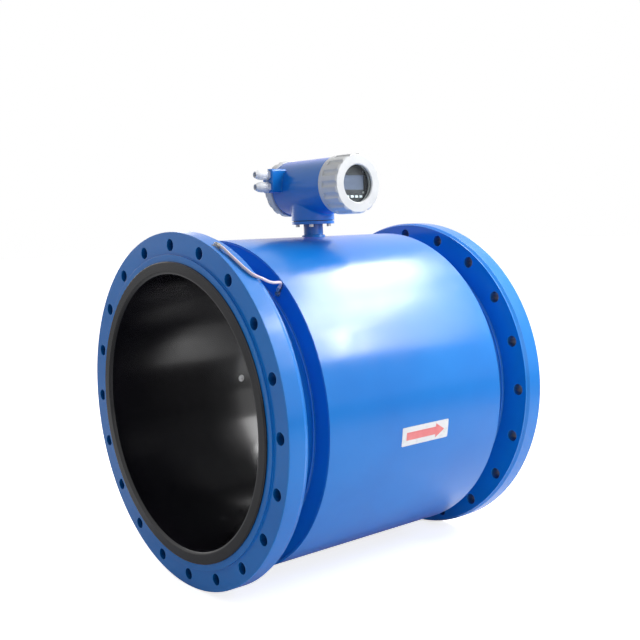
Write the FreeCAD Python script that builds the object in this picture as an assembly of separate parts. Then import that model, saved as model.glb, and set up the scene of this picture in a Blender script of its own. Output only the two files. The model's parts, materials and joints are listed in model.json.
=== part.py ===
"""Electromagnetic flow meter: lined flanged sensor pipe with a compact converter on a neck.

Millimetres. The origin is on the pipe axis, midway between the two flange plates. +X is the
direction of flow, +Z points up to the converter, and the display faces -Y.
"""
import FreeCAD, Part
import math
import os

Vector = FreeCAD.Vector
X_AXIS = Vector(1, 0, 0)
Y_AXIS = Vector(0, 1, 0)
Z_AXIS = Vector(0, 0, 1)

# ------------------------------------------------------------------ pipe, liner and flanges
BORE_D = 600.0                # bore inside the liner
LINER_T = 6.0
TUBE_T = 9.0
PLATE_SPAN = 740.0            # between the outer faces of the two flange plates
LIP_T = 5.0                   # liner turned over onto the raised face
LIP_INSET = 14.0              # from the raised face's rim to the lip's
LIP_ENTRY_R = 8.0
LIP_RIM_R = 3.0

FLANGE_W = 75.0               # from the tube out to the rim: 780 mm across at 600 mm bore
FLANGE_RIM_L = 38.0           # full-diameter part of the rim
FLANGE_BEVEL_L = 7.0          # bevel behind the rim
FLANGE_BEVEL_H = 4.0
FLANGE_LAND_L = 3.0
FLANGE_EDGE = 1.0
RAISED_FACE_H = 5.0
RAISED_FACE_GAP = 7.0         # from the raised face's rim to the bolt holes
BOLT_EDGE = 27.5              # from the flange's rim to the bolt circle
BOLT_COUNT = 20
BOLT_HOLE_D = 26.0

# ------------------------------------------------------------------ welded coil housing
COIL_ROOM = 49.5              # between the tube and the shell
SHELL_T = 3.0
BOLT_GAP_L = 69.5             # room for the bolt ends between a flange and the shell
END_PLATE_T = 5.0
END_PLATE_INSET = 2.0
WELD_LEG = 6.0

# ------------------------------------------------------------------ coils, poles and yoke
COIL_L = 320.0                # along the pipe
COIL_SPAN = 330.0             # across the pipe, as seen from above
COIL_W = 38.0                 # width of the winding
COIL_H = 20.0                 # height of the winding off the tube
COIL_CORNER_R = 80.0
POLE_CLEARANCE = 1.0
POLE_T = 6.0
CORE_L = 120.0
CORE_W = 110.0
YOKE_L = 100.0
YOKE_T = 3.0

# ------------------------------------------------------------------ measuring electrodes
ELECTRODE_HEAD_D = 18.0
ELECTRODE_HEAD_T = 3.0
ELECTRODE_SINK = 0.3          # the head's face lies this far outside the bore
ELECTRODE_STEM_D = 8.0
ELECTRODE_TAIL_L = 5.0        # stem left beyond the nut
BUSH_D = 16.0
BUSH_COLLAR_D = 30.0
BUSH_COLLAR_T = 6.0
ELECTRODE_NUT_AF = 16.0
ELECTRODE_NUT_T = 8.0

# ------------------------------------------------------------------ neck
NECK_X = 20.0                 # the neck stands just downstream of the middle
NECK_D = 46.0
NECK_T = 4.0
NECK_H = 29.0                 # from the shell's crown to the neck plate
NECK_WELD_LEG = 5.0
NECK_PLATE_D = 100.0
NECK_PLATE_T = 7.0
NECK_GASKET_D = 92.0
NECK_GASKET_T = 1.5
NECK_SCREW_D = 6.0
NECK_SCREW_HEAD_D = 10.0
NECK_SCREW_HEAD_H = 6.0
NECK_SCREW_KEY_AF = 5.0
NECK_SCREW_KEY_DEPTH = 3.0
NECK_SCREW_L = 20.0
NECK_SCREW_CIRCLE_D = 74.0
NECK_SCREW_COUNT = 4

# ------------------------------------------------------------------ converter housing
SKIRT_D = 101.0
HEAD_RISE = 77.0              # from the skirt's foot up to the barrel's axis
BARREL_D = 126.0
BARREL_FRONT_L = 102.0        # from the neck's axis to the front shoulder
BARREL_REAR_L = 74.0
BARREL_EDGE = 1.5
SKIRT_BLEND_R = 6.0
SPIGOT_D = 115.0              # threaded ends that carry the covers
SPIGOT_FRONT_L = 16.0
SPIGOT_REAR_L = 14.0
CHAMBER_D = 105.0
PARTITION_Y = -11.0
PARTITION_T = 6.0
WIRE_WAY_D = 26.0
SEAL_GROOVE_AT = 2.0          # from the shoulder to the groove
SEAL_GROOVE_L = 3.4
SEAL_GROOVE_DEPTH = 2.8

BOSS_REACH = 88.0             # from the head's axis to the face with the cable glands
BOSS_Y = 53.0
BOSS_W = 38.0
BOSS_TOP = 44.0               # above the barrel's axis
BOSS_FOOT = -10.0
BOSS_EDGE_R = 5.0

# ------------------------------------------------------------------ covers and window
COVER_D = 132.0
COVER_GAP = 0.3               # between a cover's rim and its shoulder
COVER_CHAMFER = 1.5
COVER_FACE_CHAMFER = 3.5
THREAD_CLEARANCE = 0.08
FRONT_COVER_L = 62.0
REAR_COVER_L = 26.0
REAR_COVER_WALL = 6.0
REAR_SEAT_T = 10.0            # thickness of the rear cover where its gasket sits
REAR_COVER_HOLLOW_D = 80.0
REAR_GASKET_W = 9.5
GRIP_COUNT = 16
GRIP_R = 9.0                  # radius of each scallop
GRIP_DEPTH = 3.5
GRIP_START = 14.0             # plain rim left below the scallops
WINDOW_D = 82.0
WINDOW_LIP_T = 4.5
WINDOW_CHAMFER = 2.0
GLASS_D = 94.4
GLASS_T = 6.0
GLASS_CLEARANCE = 0.3
WINDOW_GASKET_T = 1.0
WINDOW_GASKET_W = 6.0
RETAINER_T = 4.0
RETAINER_W = 5.0
COVER_THREAD_L = 19.0
COVER_WAIST_D = 106.0
FLAT_GAP = 0.1                # between flat faces that turn on each other

# ------------------------------------------------------------------ display and boards
BEZEL_D = 88.0
BEZEL_T = 1.5
BEZEL_WALL = 1.5
BEZEL_DEPTH = 6.0
BEZEL_BEHIND_RETAINER = 0.6
LCD_L = 66.0
LCD_H = 38.0
LCD_VIEW_L = 60.0
LCD_VIEW_H = 32.0
LCD_RISE = 3.0
KEY_COUNT = 4
KEY_PITCH = 13.0
KEY_L = 8.0
KEY_H = 5.0
KEY_DROP = 28.0               # below the head's axis
KEY_CLEARANCE = 0.4
KEY_PROUD = 0.9
KEY_FLANGE = 1.0
KEY_FLANGE_T = 1.0
KEY_FLANGE_GAP = 0.1
KEY_TAIL = 2.0
DISPLAY_SCREW_D = 3.0
DISPLAY_SCREW_HEAD_D = 4.6
DISPLAY_SCREW_HEAD_H = 1.2
DISPLAY_SCREW_SLOT_W = 0.8
DISPLAY_SCREW_SLOT_DEPTH = 0.6
DISPLAY_SCREW_X = 27.0
DISPLAY_SCREW_Z = 22.5
BOARD_T = 1.6
DISPLAY_BOARD_D = 84.0
BOARD_ROOM = 4.0              # round the edge of the two large boards
POST_D = 6.0
POST_CIRCLE_D = 72.0
POST_COUNT = 4
SIGNAL_BOARD_AT = 60.0        # in front of the partition
POWER_BOARD_AT = 25.0
TRANSFORMER_L = 34.0
TRANSFORMER_W = 28.0
TRANSFORMER_H = 22.0
TRANSFORMER_RISE = 10.0
CAPACITOR_D = 10.0
CAPACITOR_SPREAD = 12.0       # to each side of the middle
CAPACITOR_DROP = 22.0
CAPACITOR_H = 20.0
CHIP_L = 14.0
CHIP_T = 2.5
TERMINAL_L = 70.0
TERMINAL_W = 22.0
TERMINAL_H = 18.0
TERMINAL_COUNT = 8
TERMINAL_DROP = 18.0
TERMINAL_SCREW_D = 4.0
TERMINAL_SCREW_H = 3.0

# ------------------------------------------------------------------ cable glands
GLAND_RISE = 31.0             # upper gland above the barrel's axis
GLAND_PITCH = 28.0
GLAND_HOLE_D = 20.0
GLAND_BODY_AF = 22.0
GLAND_BODY_T = 6.0
GLAND_INNER_L = 12.0
GLAND_BORE_D = 12.0
GLAND_SPIGOT_D = 18.0
GLAND_SPIGOT_L = 11.0
GLAND_NUT_D = 24.0
GLAND_NUT_L = 30.0
GLAND_NUT_PLAIN_L = 12.0
GLAND_NUT_TIP_D = 16.0
GLAND_NUT_BULGE = 0.7         # share of the dome kept at its middle
GLAND_NUT_GAP = 1.0
GLAND_MOUTH_D = 11.0
GLAND_FLUTES = 12
GLAND_FLUTE_R = 1.6
SEAL_CLEARANCE = 0.3
SEAL_D = 16.6
CABLE_D = 7.0                 # bore of the rubber seal
SEAL_L = 11.0

# ------------------------------------------------------------------ flow label and bonding lead
LABEL_L = 138.0
LABEL_H = 41.0
LABEL_T = 0.4
LABEL_X = 14.0
LABEL_ANGLE = 98.0            # from the top towards the display side
LABEL_CORNER_R = 3.0

LEAD_D = 6.0
LUG_T = 1.2
LUG_RING_D = 13.0
LUG_BARREL_T = 0.8
LUG_BARREL_AT = 8.0           # from the screw to the barrel
LUG_BARREL_L = 9.0
LEAD_LEAVE = 14.0              # straight run of wire out of each lug
LEAD_SCREW_D = 6.0
LEAD_SCREW_HEAD_D = 10.0
LEAD_SCREW_HEAD_H = 4.0
LEAD_SCREW_BITE = 8.0
LEAD_SCREW_KEY_AF = 5.0
LEAD_SCREW_KEY_DEPTH = 2.4
RIM_LUG_ANGLE = 22.5          # from the top towards the display side
RIM_LUG_SETBACK = 18.0        # behind the flange plate's outer face
SHELL_LUG_ANGLE = 39.6
SHELL_LUG_INSET = 28.5        # inside the shell's inner face
# Over the rim: setback from the plate's outer face, rise off the rim, angle from the top.
RIM_ROUTE = [
    (18.5, 4.3, 28.5),
    (20.0, 4.3, 32.5),
    (23.5, 4.3, 36.4),
    (32.0, 4.3, 39.9),
    (52.0, 2.0, 41.6),
]
# Down to the shell's lug: distance out of the end plate, rise off the lug, angle.
GAP_ROUTE = [
    (52.0, 47.0, 41.4),
    (33.0, 38.5, 40.8),
]

# ------------------------------------------------------------------ sizes that follow
BORE_R = BORE_D / 2
TUBE_IN_R = BORE_R + LINER_T
TUBE_R = TUBE_IN_R + TUBE_T
PLATE_X = PLATE_SPAN / 2
SEAL_FACE_X = PLATE_X + RAISED_FACE_H
LIP_X = SEAL_FACE_X + LIP_T
FLANGE_R = TUBE_R + FLANGE_W
BOLT_CIRCLE_R = FLANGE_R - BOLT_EDGE
RAISED_FACE_R = BOLT_CIRCLE_R - BOLT_HOLE_D / 2 - RAISED_FACE_GAP
LIP_R = RAISED_FACE_R - LIP_INSET
FLANGE_L = FLANGE_RIM_L + FLANGE_BEVEL_L + FLANGE_LAND_L
FLANGE_BACK_X = PLATE_X - FLANGE_L
SHELL_IN_R = TUBE_R + COIL_ROOM
SHELL_R = SHELL_IN_R + SHELL_T
SHELL_X = FLANGE_BACK_X - BOLT_GAP_L
END_PLATE_X = SHELL_X - END_PLATE_INSET
COIL_R = TUBE_R + COIL_H
YOKE_R = COIL_R + YOKE_T
NECK_R = NECK_D / 2
NECK_TOP_Z = SHELL_R + NECK_H
GASKET_Z = NECK_TOP_Z + NECK_PLATE_T
SKIRT_Z = GASKET_Z + NECK_GASKET_T
HEAD_Z = SKIRT_Z + HEAD_RISE
BARREL_R = BARREL_D / 2
SPIGOT_R = SPIGOT_D / 2
CHAMBER_R = CHAMBER_D / 2
COVER_R = COVER_D / 2
COVER_THREAD_R = SPIGOT_R + THREAD_CLEARANCE
GLASS_R = GLASS_D / 2
GLASS_SEAT_R = GLASS_R + GLASS_CLEARANCE
WINDOW_SEAT_AT = FRONT_COVER_L - WINDOW_LIP_T
GASKET_AT = WINDOW_SEAT_AT - FLAT_GAP - WINDOW_GASKET_T
GLASS_AT = GASKET_AT - GLASS_T
RETAINER_AT = GLASS_AT - GLASS_CLEARANCE - RETAINER_T
BEZEL_FRONT_AT = RETAINER_AT - BEZEL_BEHIND_RETAINER
DISPLAY_BOARD_AT = BEZEL_FRONT_AT - BEZEL_DEPTH - BOARD_T
PARTITION_AT = -BARREL_FRONT_L - (PARTITION_Y - PARTITION_T / 2)
BOSS_X = NECK_X - BOSS_REACH
LEAD_R = LEAD_D / 2
SHELL_LUG_R = SHELL_IN_R - SHELL_LUG_INSET
WIRE_RISE = LUG_T / 2 + LUG_BARREL_T + LEAD_R


# ------------------------------------------------------------------ helpers
def polygon_face(points, to_vector):
    corners = [to_vector(a, b) for a, b in points]
    return Part.Face(Part.makePolygon(corners + corners[:1]))


def turn_about_pipe(profile):
    """Solid of revolution about the pipe axis from (x, radius) points."""
    face = polygon_face(profile, lambda x, r: Vector(x, 0, r))
    return face.revolve(Vector(), X_AXIS, 360)


def pipe_ring(x0, x1, inner_r, outer_r):
    return turn_about_pipe([(x0, inner_r), (x1, inner_r), (x1, outer_r), (x0, outer_r)])


def turn_about_head(profile, end):
    """Solid of revolution about the barrel's axis from (distance, radius) points.

    The distance runs outwards from the barrel's shoulder; end is "front" or "rear".
    """
    face = polygon_face(profile, lambda d, r: Vector(NECK_X, head_y(d, end), HEAD_Z + r))
    return face.revolve(Vector(NECK_X, 0, HEAD_Z), Y_AXIS, 360)


def head_y(distance, end):
    if end == "front":
        return -BARREL_FRONT_L - distance
    return BARREL_REAR_L + distance


def head_disc(d0, d1, radius, across=0.0, up=0.0):
    """Cylinder in the front of the head, offset across and up from the barrel's axis."""
    foot = Vector(NECK_X + across, head_y(d0, "front"), HEAD_Z + up)
    return Part.makeCylinder(radius, d1 - d0, foot, -Y_AXIS)


def head_block(d0, d1, length, height, across=0.0, up=0.0):
    corner = Vector(NECK_X + across - length / 2, head_y(d1, "front"), HEAD_Z + up - height / 2)
    return Part.makeBox(length, d1 - d0, height, corner)


def turn_about_gland(profile, rise):
    """Solid of revolution about a gland's axis from (distance out of the boss, radius)."""
    face = polygon_face(profile, lambda d, r: Vector(BOSS_X - d, BOSS_Y, HEAD_Z + rise + r))
    return face.revolve(Vector(0, BOSS_Y, HEAD_Z + rise), X_AXIS, 360)


def hexagon(across_flats, height, centre, axis):
    """Hexagonal prism that stands on centre along axis."""
    radius = across_flats / math.sqrt(3)
    corners = []
    for i in range(6):
        angle = math.radians(60 * i)
        corners.append(Vector(radius * math.cos(angle), radius * math.sin(angle), 0))
    prism = Part.Face(Part.makePolygon(corners + corners[:1])).extrude(Vector(0, 0, height))
    turned = FreeCAD.Placement(centre, FreeCAD.Rotation(Z_AXIS, axis))
    return prism.transformGeometry(turned.toMatrix())


def around(x, radius, angle):
    """Point at a radius and an angle from the top towards the display side."""
    a = math.radians(angle)
    return Vector(x, -radius * math.sin(a), radius * math.cos(a))


def outward(angle):
    return around(0, 1, angle)


def along_rim(angle):
    a = math.radians(angle)
    return Vector(0, -math.cos(a), -math.sin(a))


def round_ends(solid, radius, chosen):
    """Fillet the circular edges that chosen(edge) picks."""
    return solid.makeFillet(radius, [edge for edge in solid.Edges if chosen(edge)])


def is_ring(edge, x, radius):
    curve = edge.Curve
    if not isinstance(curve, Part.Circle):
        return False
    return abs(curve.Radius - radius) < 0.01 and abs(abs(curve.Center.x) - x) < 0.01


def mirrored(solid):
    """The same piece at the outlet end."""
    return solid.mirror(Vector(), X_AXIS)


def turned_round(solid, count, centre, axis):
    """Copies of a solid at equal angles about an axis."""
    copies = []
    for i in range(count):
        copy = solid.copy()
        copy.rotate(centre, axis, 360.0 * i / count)
        copies.append(copy)
    return copies


# ------------------------------------------------------------------ sensor pipe
def flange_plate():
    """Inlet flange: raised face, bevelled back and a ring of bolt holes."""
    profile = [
        (-FLANGE_BACK_X, TUBE_R),
        (-SEAL_FACE_X, TUBE_R),
        (-SEAL_FACE_X, RAISED_FACE_R),
        (-PLATE_X, RAISED_FACE_R),
        (-PLATE_X, FLANGE_R - FLANGE_EDGE),
        (-PLATE_X + FLANGE_EDGE, FLANGE_R),
        (-PLATE_X + FLANGE_RIM_L, FLANGE_R),
        (-PLATE_X + FLANGE_RIM_L + FLANGE_BEVEL_L, FLANGE_R - FLANGE_BEVEL_H),
        (-FLANGE_BACK_X, FLANGE_R - FLANGE_BEVEL_H),
    ]
    hole_foot = Vector(-PLATE_X, 0, BOLT_CIRCLE_R)
    hole = Part.makeCylinder(BOLT_HOLE_D / 2, FLANGE_L, hole_foot, X_AXIS)
    return turn_about_pipe(profile).cut(turned_round(hole, BOLT_COUNT, Vector(), X_AXIS))


def tube_weld():
    """Fillet weld between the tube and the back of the inlet flange."""
    return turn_about_pipe([
        (-FLANGE_BACK_X, TUBE_R),
        (-FLANGE_BACK_X, TUBE_R + WELD_LEG),
        (-FLANGE_BACK_X + WELD_LEG, TUBE_R),
    ])


def measuring_tube():
    """Tube with a bush hole on each side, and the welds that hold it in the flanges."""
    tube = pipe_ring(-SEAL_FACE_X, SEAL_FACE_X, TUBE_IN_R, TUBE_R)
    tube = tube.fuse([tube_weld(), mirrored(tube_weld())]).removeSplitter()
    return tube.cut(Part.makeCylinder(BUSH_D / 2, 2 * FLANGE_R, Vector(0, -FLANGE_R, 0), Y_AXIS))


def rubber_liner():
    """Liner turned over onto both raised faces, with rounded lips."""
    profile = [
        (-LIP_X, BORE_R),
        (LIP_X, BORE_R),
        (LIP_X, LIP_R),
        (SEAL_FACE_X, LIP_R),
        (SEAL_FACE_X, TUBE_IN_R),
        (-SEAL_FACE_X, TUBE_IN_R),
        (-SEAL_FACE_X, LIP_R),
        (-LIP_X, LIP_R),
    ]
    liner = turn_about_pipe(profile)
    liner = round_ends(liner, LIP_ENTRY_R, lambda edge: is_ring(edge, LIP_X, BORE_R))
    liner = round_ends(liner, LIP_RIM_R, lambda edge: is_ring(edge, LIP_X, LIP_R))
    seats = [electrode_seat(side) for side in (-1, 1)]
    return liner.cut(seats)


def housing_shell():
    """Rolled shell with a hole for the neck pipe."""
    shell = pipe_ring(-SHELL_X, SHELL_X, SHELL_IN_R, SHELL_R)
    return shell.cut(Part.makeCylinder(NECK_R, 2 * SHELL_R, Vector(NECK_X, 0, 0), Z_AXIS))


def end_plate():
    """Annular plate between the tube and the inlet end of the shell."""
    plate = pipe_ring(-END_PLATE_X, -END_PLATE_X + END_PLATE_T, TUBE_R, SHELL_IN_R)
    weld = turn_about_pipe([
        (-END_PLATE_X, TUBE_R),
        (-END_PLATE_X, TUBE_R + WELD_LEG),
        (-END_PLATE_X - WELD_LEG, TUBE_R),
    ])
    return plate.fuse(weld).removeSplitter()


# ------------------------------------------------------------------ field coils
def rounded_column(length, width, corner_r):
    """Tall block over the pipe with rounded vertical edges."""
    corner = Vector(-length / 2, -width / 2, 0)
    block = Part.makeBox(length, width, FLANGE_R, corner)
    upright = [edge for edge in block.Edges if abs(edge.tangentAt(0).z) > 0.99]
    return block.makeFillet(corner_r, upright)


def saddle_coil():
    """Winding that lies on top of the tube, as a rounded frame bent to its curve."""
    window_l = COIL_L - 2 * COIL_W
    window_span = COIL_SPAN - 2 * COIL_W
    frame = rounded_column(COIL_L, COIL_SPAN, COIL_CORNER_R)
    frame = frame.cut(rounded_column(window_l, window_span, COIL_CORNER_R - COIL_W))
    return frame.common(pipe_ring(-COIL_L, COIL_L, TUBE_R, COIL_R))


def pole_piece():
    """Curved pole plate inside the coil's window, with the core that reaches the yoke."""
    plate_l = COIL_L - 2 * COIL_W - 2 * POLE_CLEARANCE
    plate_span = COIL_SPAN - 2 * COIL_W - 2 * POLE_CLEARANCE
    corner_r = COIL_CORNER_R - COIL_W - POLE_CLEARANCE
    plate = rounded_column(plate_l, plate_span, corner_r)
    plate = plate.common(pipe_ring(-COIL_L, COIL_L, TUBE_R, TUBE_R + POLE_T))
    core = Part.makeBox(CORE_L, CORE_W, FLANGE_R, Vector(-CORE_L / 2, -CORE_W / 2, 0))
    core = core.common(pipe_ring(-COIL_L, COIL_L, TUBE_R + POLE_T, COIL_R))
    return plate.fuse(core).removeSplitter()


def flipped(solid):
    """The same piece under the tube."""
    copy = solid.copy()
    copy.rotate(Vector(), X_AXIS, 180)
    return copy


def magnetic_yoke():
    """Band round both coils that closes the magnetic circuit."""
    return pipe_ring(-YOKE_L / 2, YOKE_L / 2, COIL_R, YOKE_R)


# ------------------------------------------------------------------ electrodes
def electrode_foot(side):
    return Vector(0, side * (BORE_R + ELECTRODE_SINK), 0)


def electrode_seat(side):
    """Room in the liner for an electrode's head and stem."""
    top = Vector(0, side * (BORE_R - LINER_T), 0)
    head_l = LINER_T + ELECTRODE_SINK + ELECTRODE_HEAD_T
    head = Part.makeCylinder(ELECTRODE_HEAD_D / 2, head_l, top, Y_AXIS * side)
    stem = Part.makeCylinder(ELECTRODE_STEM_D / 2, 3 * LINER_T, top, Y_AXIS * side)
    return head.fuse(stem)


def electrode(side):
    head = Part.makeCylinder(ELECTRODE_HEAD_D / 2, ELECTRODE_HEAD_T, electrode_foot(side), Y_AXIS * side)
    tail_r = TUBE_R + BUSH_COLLAR_T + ELECTRODE_NUT_T + ELECTRODE_TAIL_L
    stem_l = tail_r - BORE_R - ELECTRODE_SINK
    stem = Part.makeCylinder(ELECTRODE_STEM_D / 2, stem_l, electrode_foot(side), Y_AXIS * side)
    return head.fuse(stem).removeSplitter()


def electrode_bush(side):
    """Insulating bush that carries the electrode's stem through the tube."""
    barrel_l = TUBE_T + BUSH_COLLAR_T
    barrel = Part.makeCylinder(BUSH_D / 2, barrel_l, Vector(0, side * TUBE_IN_R, 0), Y_AXIS * side)
    collar_foot = Vector(0, side * TUBE_R, 0)
    collar = Part.makeCylinder(BUSH_COLLAR_D / 2, BUSH_COLLAR_T, collar_foot, Y_AXIS * side)
    stem_foot = Vector(0, side * BORE_R, 0)
    stem = Part.makeCylinder(ELECTRODE_STEM_D / 2, FLANGE_R, stem_foot, Y_AXIS * side)
    return barrel.fuse(collar).removeSplitter().cut(stem)


def electrode_nut(side):
    foot = Vector(0, side * (TUBE_R + BUSH_COLLAR_T), 0)
    nut = hexagon(ELECTRODE_NUT_AF, ELECTRODE_NUT_T, foot, Y_AXIS * side)
    stem = Part.makeCylinder(ELECTRODE_STEM_D / 2, ELECTRODE_NUT_T, foot, Y_AXIS * side)
    return nut.cut(stem)


# ------------------------------------------------------------------ neck
def neck_pipe():
    """Pipe through the shell's crown, with its weld laid on the curved shell."""
    foot = Vector(NECK_X, 0, SHELL_IN_R - SHELL_T)
    length = NECK_TOP_Z - foot.z
    outside = Part.makeCylinder(NECK_R, length, foot, Z_AXIS)
    weld_foot = Vector(NECK_X, 0, SHELL_R - NECK_WELD_LEG)
    weld = Part.makeCone(NECK_R + 2 * NECK_WELD_LEG, NECK_R, 2 * NECK_WELD_LEG, weld_foot, Z_AXIS)
    weld = weld.cut(Part.makeCylinder(SHELL_R, PLATE_SPAN, Vector(-PLATE_X, 0, 0), X_AXIS))
    inside = Part.makeCylinder(NECK_R - NECK_T, length, foot, Z_AXIS)
    return outside.fuse(weld).removeSplitter().cut(inside)


def neck_screw_solid():
    """Screw that goes up through the neck plate into the skirt."""
    head_foot = Vector(NECK_X + NECK_SCREW_CIRCLE_D / 2, 0, NECK_TOP_Z - NECK_SCREW_HEAD_H)
    head = Part.makeCylinder(NECK_SCREW_HEAD_D / 2, NECK_SCREW_HEAD_H, head_foot, Z_AXIS)
    shank_foot = Vector(head_foot.x, 0, NECK_TOP_Z)
    shank = Part.makeCylinder(NECK_SCREW_D / 2, NECK_SCREW_L, shank_foot, Z_AXIS)
    return head.fuse(shank).removeSplitter()


def round_neck(screw):
    screw.rotate(Vector(NECK_X, 0, 0), Z_AXIS, 180.0 / NECK_SCREW_COUNT)
    return turned_round(screw, NECK_SCREW_COUNT, Vector(NECK_X, 0, 0), Z_AXIS)


def neck_screw_room():
    return round_neck(neck_screw_solid())


def neck_screws():
    """Screws with a hexagon socket in the underside of each head."""
    foot = Vector(NECK_X + NECK_SCREW_CIRCLE_D / 2, 0, NECK_TOP_Z - NECK_SCREW_HEAD_H)
    socket = hexagon(NECK_SCREW_KEY_AF, NECK_SCREW_KEY_DEPTH, foot, Z_AXIS)
    return round_neck(neck_screw_solid().cut(socket))


def neck_plate():
    plate = Part.makeCylinder(NECK_PLATE_D / 2, NECK_PLATE_T, Vector(NECK_X, 0, NECK_TOP_Z), Z_AXIS)
    way = Part.makeCylinder(NECK_R - NECK_T, NECK_PLATE_T, Vector(NECK_X, 0, NECK_TOP_Z), Z_AXIS)
    return plate.cut([way] + neck_screw_room())


def neck_gasket():
    gasket = Part.makeCylinder(NECK_GASKET_D / 2, NECK_GASKET_T, Vector(NECK_X, 0, GASKET_Z), Z_AXIS)
    way = Part.makeCylinder(NECK_R - NECK_T, NECK_GASKET_T, Vector(NECK_X, 0, GASKET_Z), Z_AXIS)
    return gasket.cut([way] + neck_screw_room())


# ------------------------------------------------------------------ converter housing
def barrel():
    """Outside of the barrel with its two threaded ends and their seal grooves."""
    front = -BARREL_FRONT_L
    rear = BARREL_REAR_L
    groove_r = SPIGOT_R - SEAL_GROOVE_DEPTH
    groove_end = SEAL_GROOVE_AT + SEAL_GROOVE_L
    profile = [
        (front - SPIGOT_FRONT_L, 0),
        (front - SPIGOT_FRONT_L, SPIGOT_R),
        (front - groove_end, SPIGOT_R),
        (front - groove_end, groove_r),
        (front - SEAL_GROOVE_AT, groove_r),
        (front - SEAL_GROOVE_AT, SPIGOT_R),
        (front, SPIGOT_R),
        (front, BARREL_R - BARREL_EDGE),
        (front + BARREL_EDGE, BARREL_R),
        (rear - BARREL_EDGE, BARREL_R),
        (rear, BARREL_R - BARREL_EDGE),
        (rear, SPIGOT_R),
        (rear + SEAL_GROOVE_AT, SPIGOT_R),
        (rear + SEAL_GROOVE_AT, groove_r),
        (rear + groove_end, groove_r),
        (rear + groove_end, SPIGOT_R),
        (rear + SPIGOT_REAR_L, SPIGOT_R),
        (rear + SPIGOT_REAR_L, 0),
    ]
    face = polygon_face(profile, lambda y, r: Vector(NECK_X, y, HEAD_Z + r))
    return face.revolve(Vector(NECK_X, 0, HEAD_Z), Y_AXIS, 360)


def skirt():
    """Round foot of the housing, blended into the barrel above it."""
    return Part.makeCylinder(SKIRT_D / 2, HEAD_RISE, Vector(NECK_X, 0, SKIRT_Z), Z_AXIS)


def gland_boss():
    """Block on the side of the barrel whose face takes the two cable glands."""
    corner = Vector(BOSS_X, BOSS_Y - BOSS_W / 2, HEAD_Z + BOSS_FOOT)
    block = Part.makeBox(BOSS_REACH, BOSS_W, BOSS_TOP - BOSS_FOOT, corner)
    along = [edge for edge in block.Edges if abs(edge.tangentAt(0).x) > 0.99]
    return block.makeFillet(BOSS_EDGE_R, along)


def chambers():
    """Front and rear chambers on each side of the partition, and the way for the wires."""
    front_y = -BARREL_FRONT_L - SPIGOT_FRONT_L
    front_l = PARTITION_Y - PARTITION_T / 2 - front_y
    rear_y = PARTITION_Y + PARTITION_T / 2
    rear_l = BARREL_REAR_L + SPIGOT_REAR_L - rear_y
    front = Part.makeCylinder(CHAMBER_R, front_l, Vector(NECK_X, front_y, HEAD_Z), Y_AXIS)
    rear = Part.makeCylinder(CHAMBER_R, rear_l, Vector(NECK_X, rear_y, HEAD_Z), Y_AXIS)
    way = Part.makeCylinder(WIRE_WAY_D / 2, HEAD_RISE - CHAMBER_R + NECK_GASKET_T,
                            Vector(NECK_X, 0, SKIRT_Z), Z_AXIS)
    return [front, rear, way]


def gland_holes():
    holes = []
    for rise in gland_rises():
        foot = Vector(BOSS_X, BOSS_Y, HEAD_Z + rise)
        holes.append(Part.makeCylinder(GLAND_HOLE_D / 2, BOSS_REACH, foot, X_AXIS))
    return holes


def on_skirt_joint(edge):
    """The curve in which the skirt meets the underside of the barrel."""
    middle = edge.valueAt((edge.FirstParameter + edge.LastParameter) / 2)
    off_axis = math.hypot(middle.x - NECK_X, middle.y)
    low = middle.z < HEAD_Z - 1
    return low and abs(off_axis - SKIRT_D / 2) < 0.01 and middle.z > SKIRT_Z + 1


def converter_housing():
    outside = barrel().fuse(skirt()).removeSplitter()
    outside = round_ends(outside, SKIRT_BLEND_R, on_skirt_joint)
    outside = outside.fuse(gland_boss()).removeSplitter()
    return outside.cut(chambers() + gland_holes() + neck_screw_room())


def cover_seal(end):
    """O-ring in the groove of a threaded end."""
    ring_r = SEAL_GROOVE_DEPTH / 2
    middle = head_y(SEAL_GROOVE_AT + SEAL_GROOVE_L / 2, end)
    centre = Vector(NECK_X, middle, HEAD_Z)
    return Part.makeTorus(SPIGOT_R - ring_r, ring_r, centre, Y_AXIS)


# ------------------------------------------------------------------ covers
def grips(length, end):
    """Scallops cut along the rim of a cover."""
    off_axis = COVER_R + GRIP_R - GRIP_DEPTH
    near = min(head_y(GRIP_START, end), head_y(length, end))
    foot = Vector(NECK_X, near, HEAD_Z + off_axis)
    scallop = Part.makeCylinder(GRIP_R, length - GRIP_START, foot, Y_AXIS)
    return turned_round(scallop, GRIP_COUNT, Vector(NECK_X, 0, HEAD_Z), Y_AXIS)


def front_cover():
    """Screwed ring with a seat for the window."""
    window_r = WINDOW_D / 2
    waist_end = RETAINER_AT - RETAINER_T
    profile = [
        (COVER_GAP, COVER_THREAD_R),
        (COVER_GAP, COVER_R - COVER_CHAMFER),
        (COVER_GAP + COVER_CHAMFER, COVER_R),
        (FRONT_COVER_L - COVER_FACE_CHAMFER, COVER_R),
        (FRONT_COVER_L, COVER_R - COVER_FACE_CHAMFER),
        (FRONT_COVER_L, window_r + WINDOW_CHAMFER),
        (FRONT_COVER_L - WINDOW_CHAMFER, window_r),
        (WINDOW_SEAT_AT, window_r),
        (WINDOW_SEAT_AT, GLASS_SEAT_R),
        (waist_end, GLASS_SEAT_R),
        (waist_end, COVER_WAIST_D / 2),
        (COVER_THREAD_L, COVER_WAIST_D / 2),
        (COVER_THREAD_L, COVER_THREAD_R),
    ]
    return turn_about_head(profile, "front").cut(grips(FRONT_COVER_L, "front"))


def front_ring(at, thickness, inner_r, outer_r):
    profile = [(at, inner_r), (at, outer_r), (at + thickness, outer_r), (at + thickness, inner_r)]
    return turn_about_head(profile, "front")


def window_glass():
    return head_disc(GLASS_AT, GLASS_AT + GLASS_T, GLASS_R)


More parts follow.
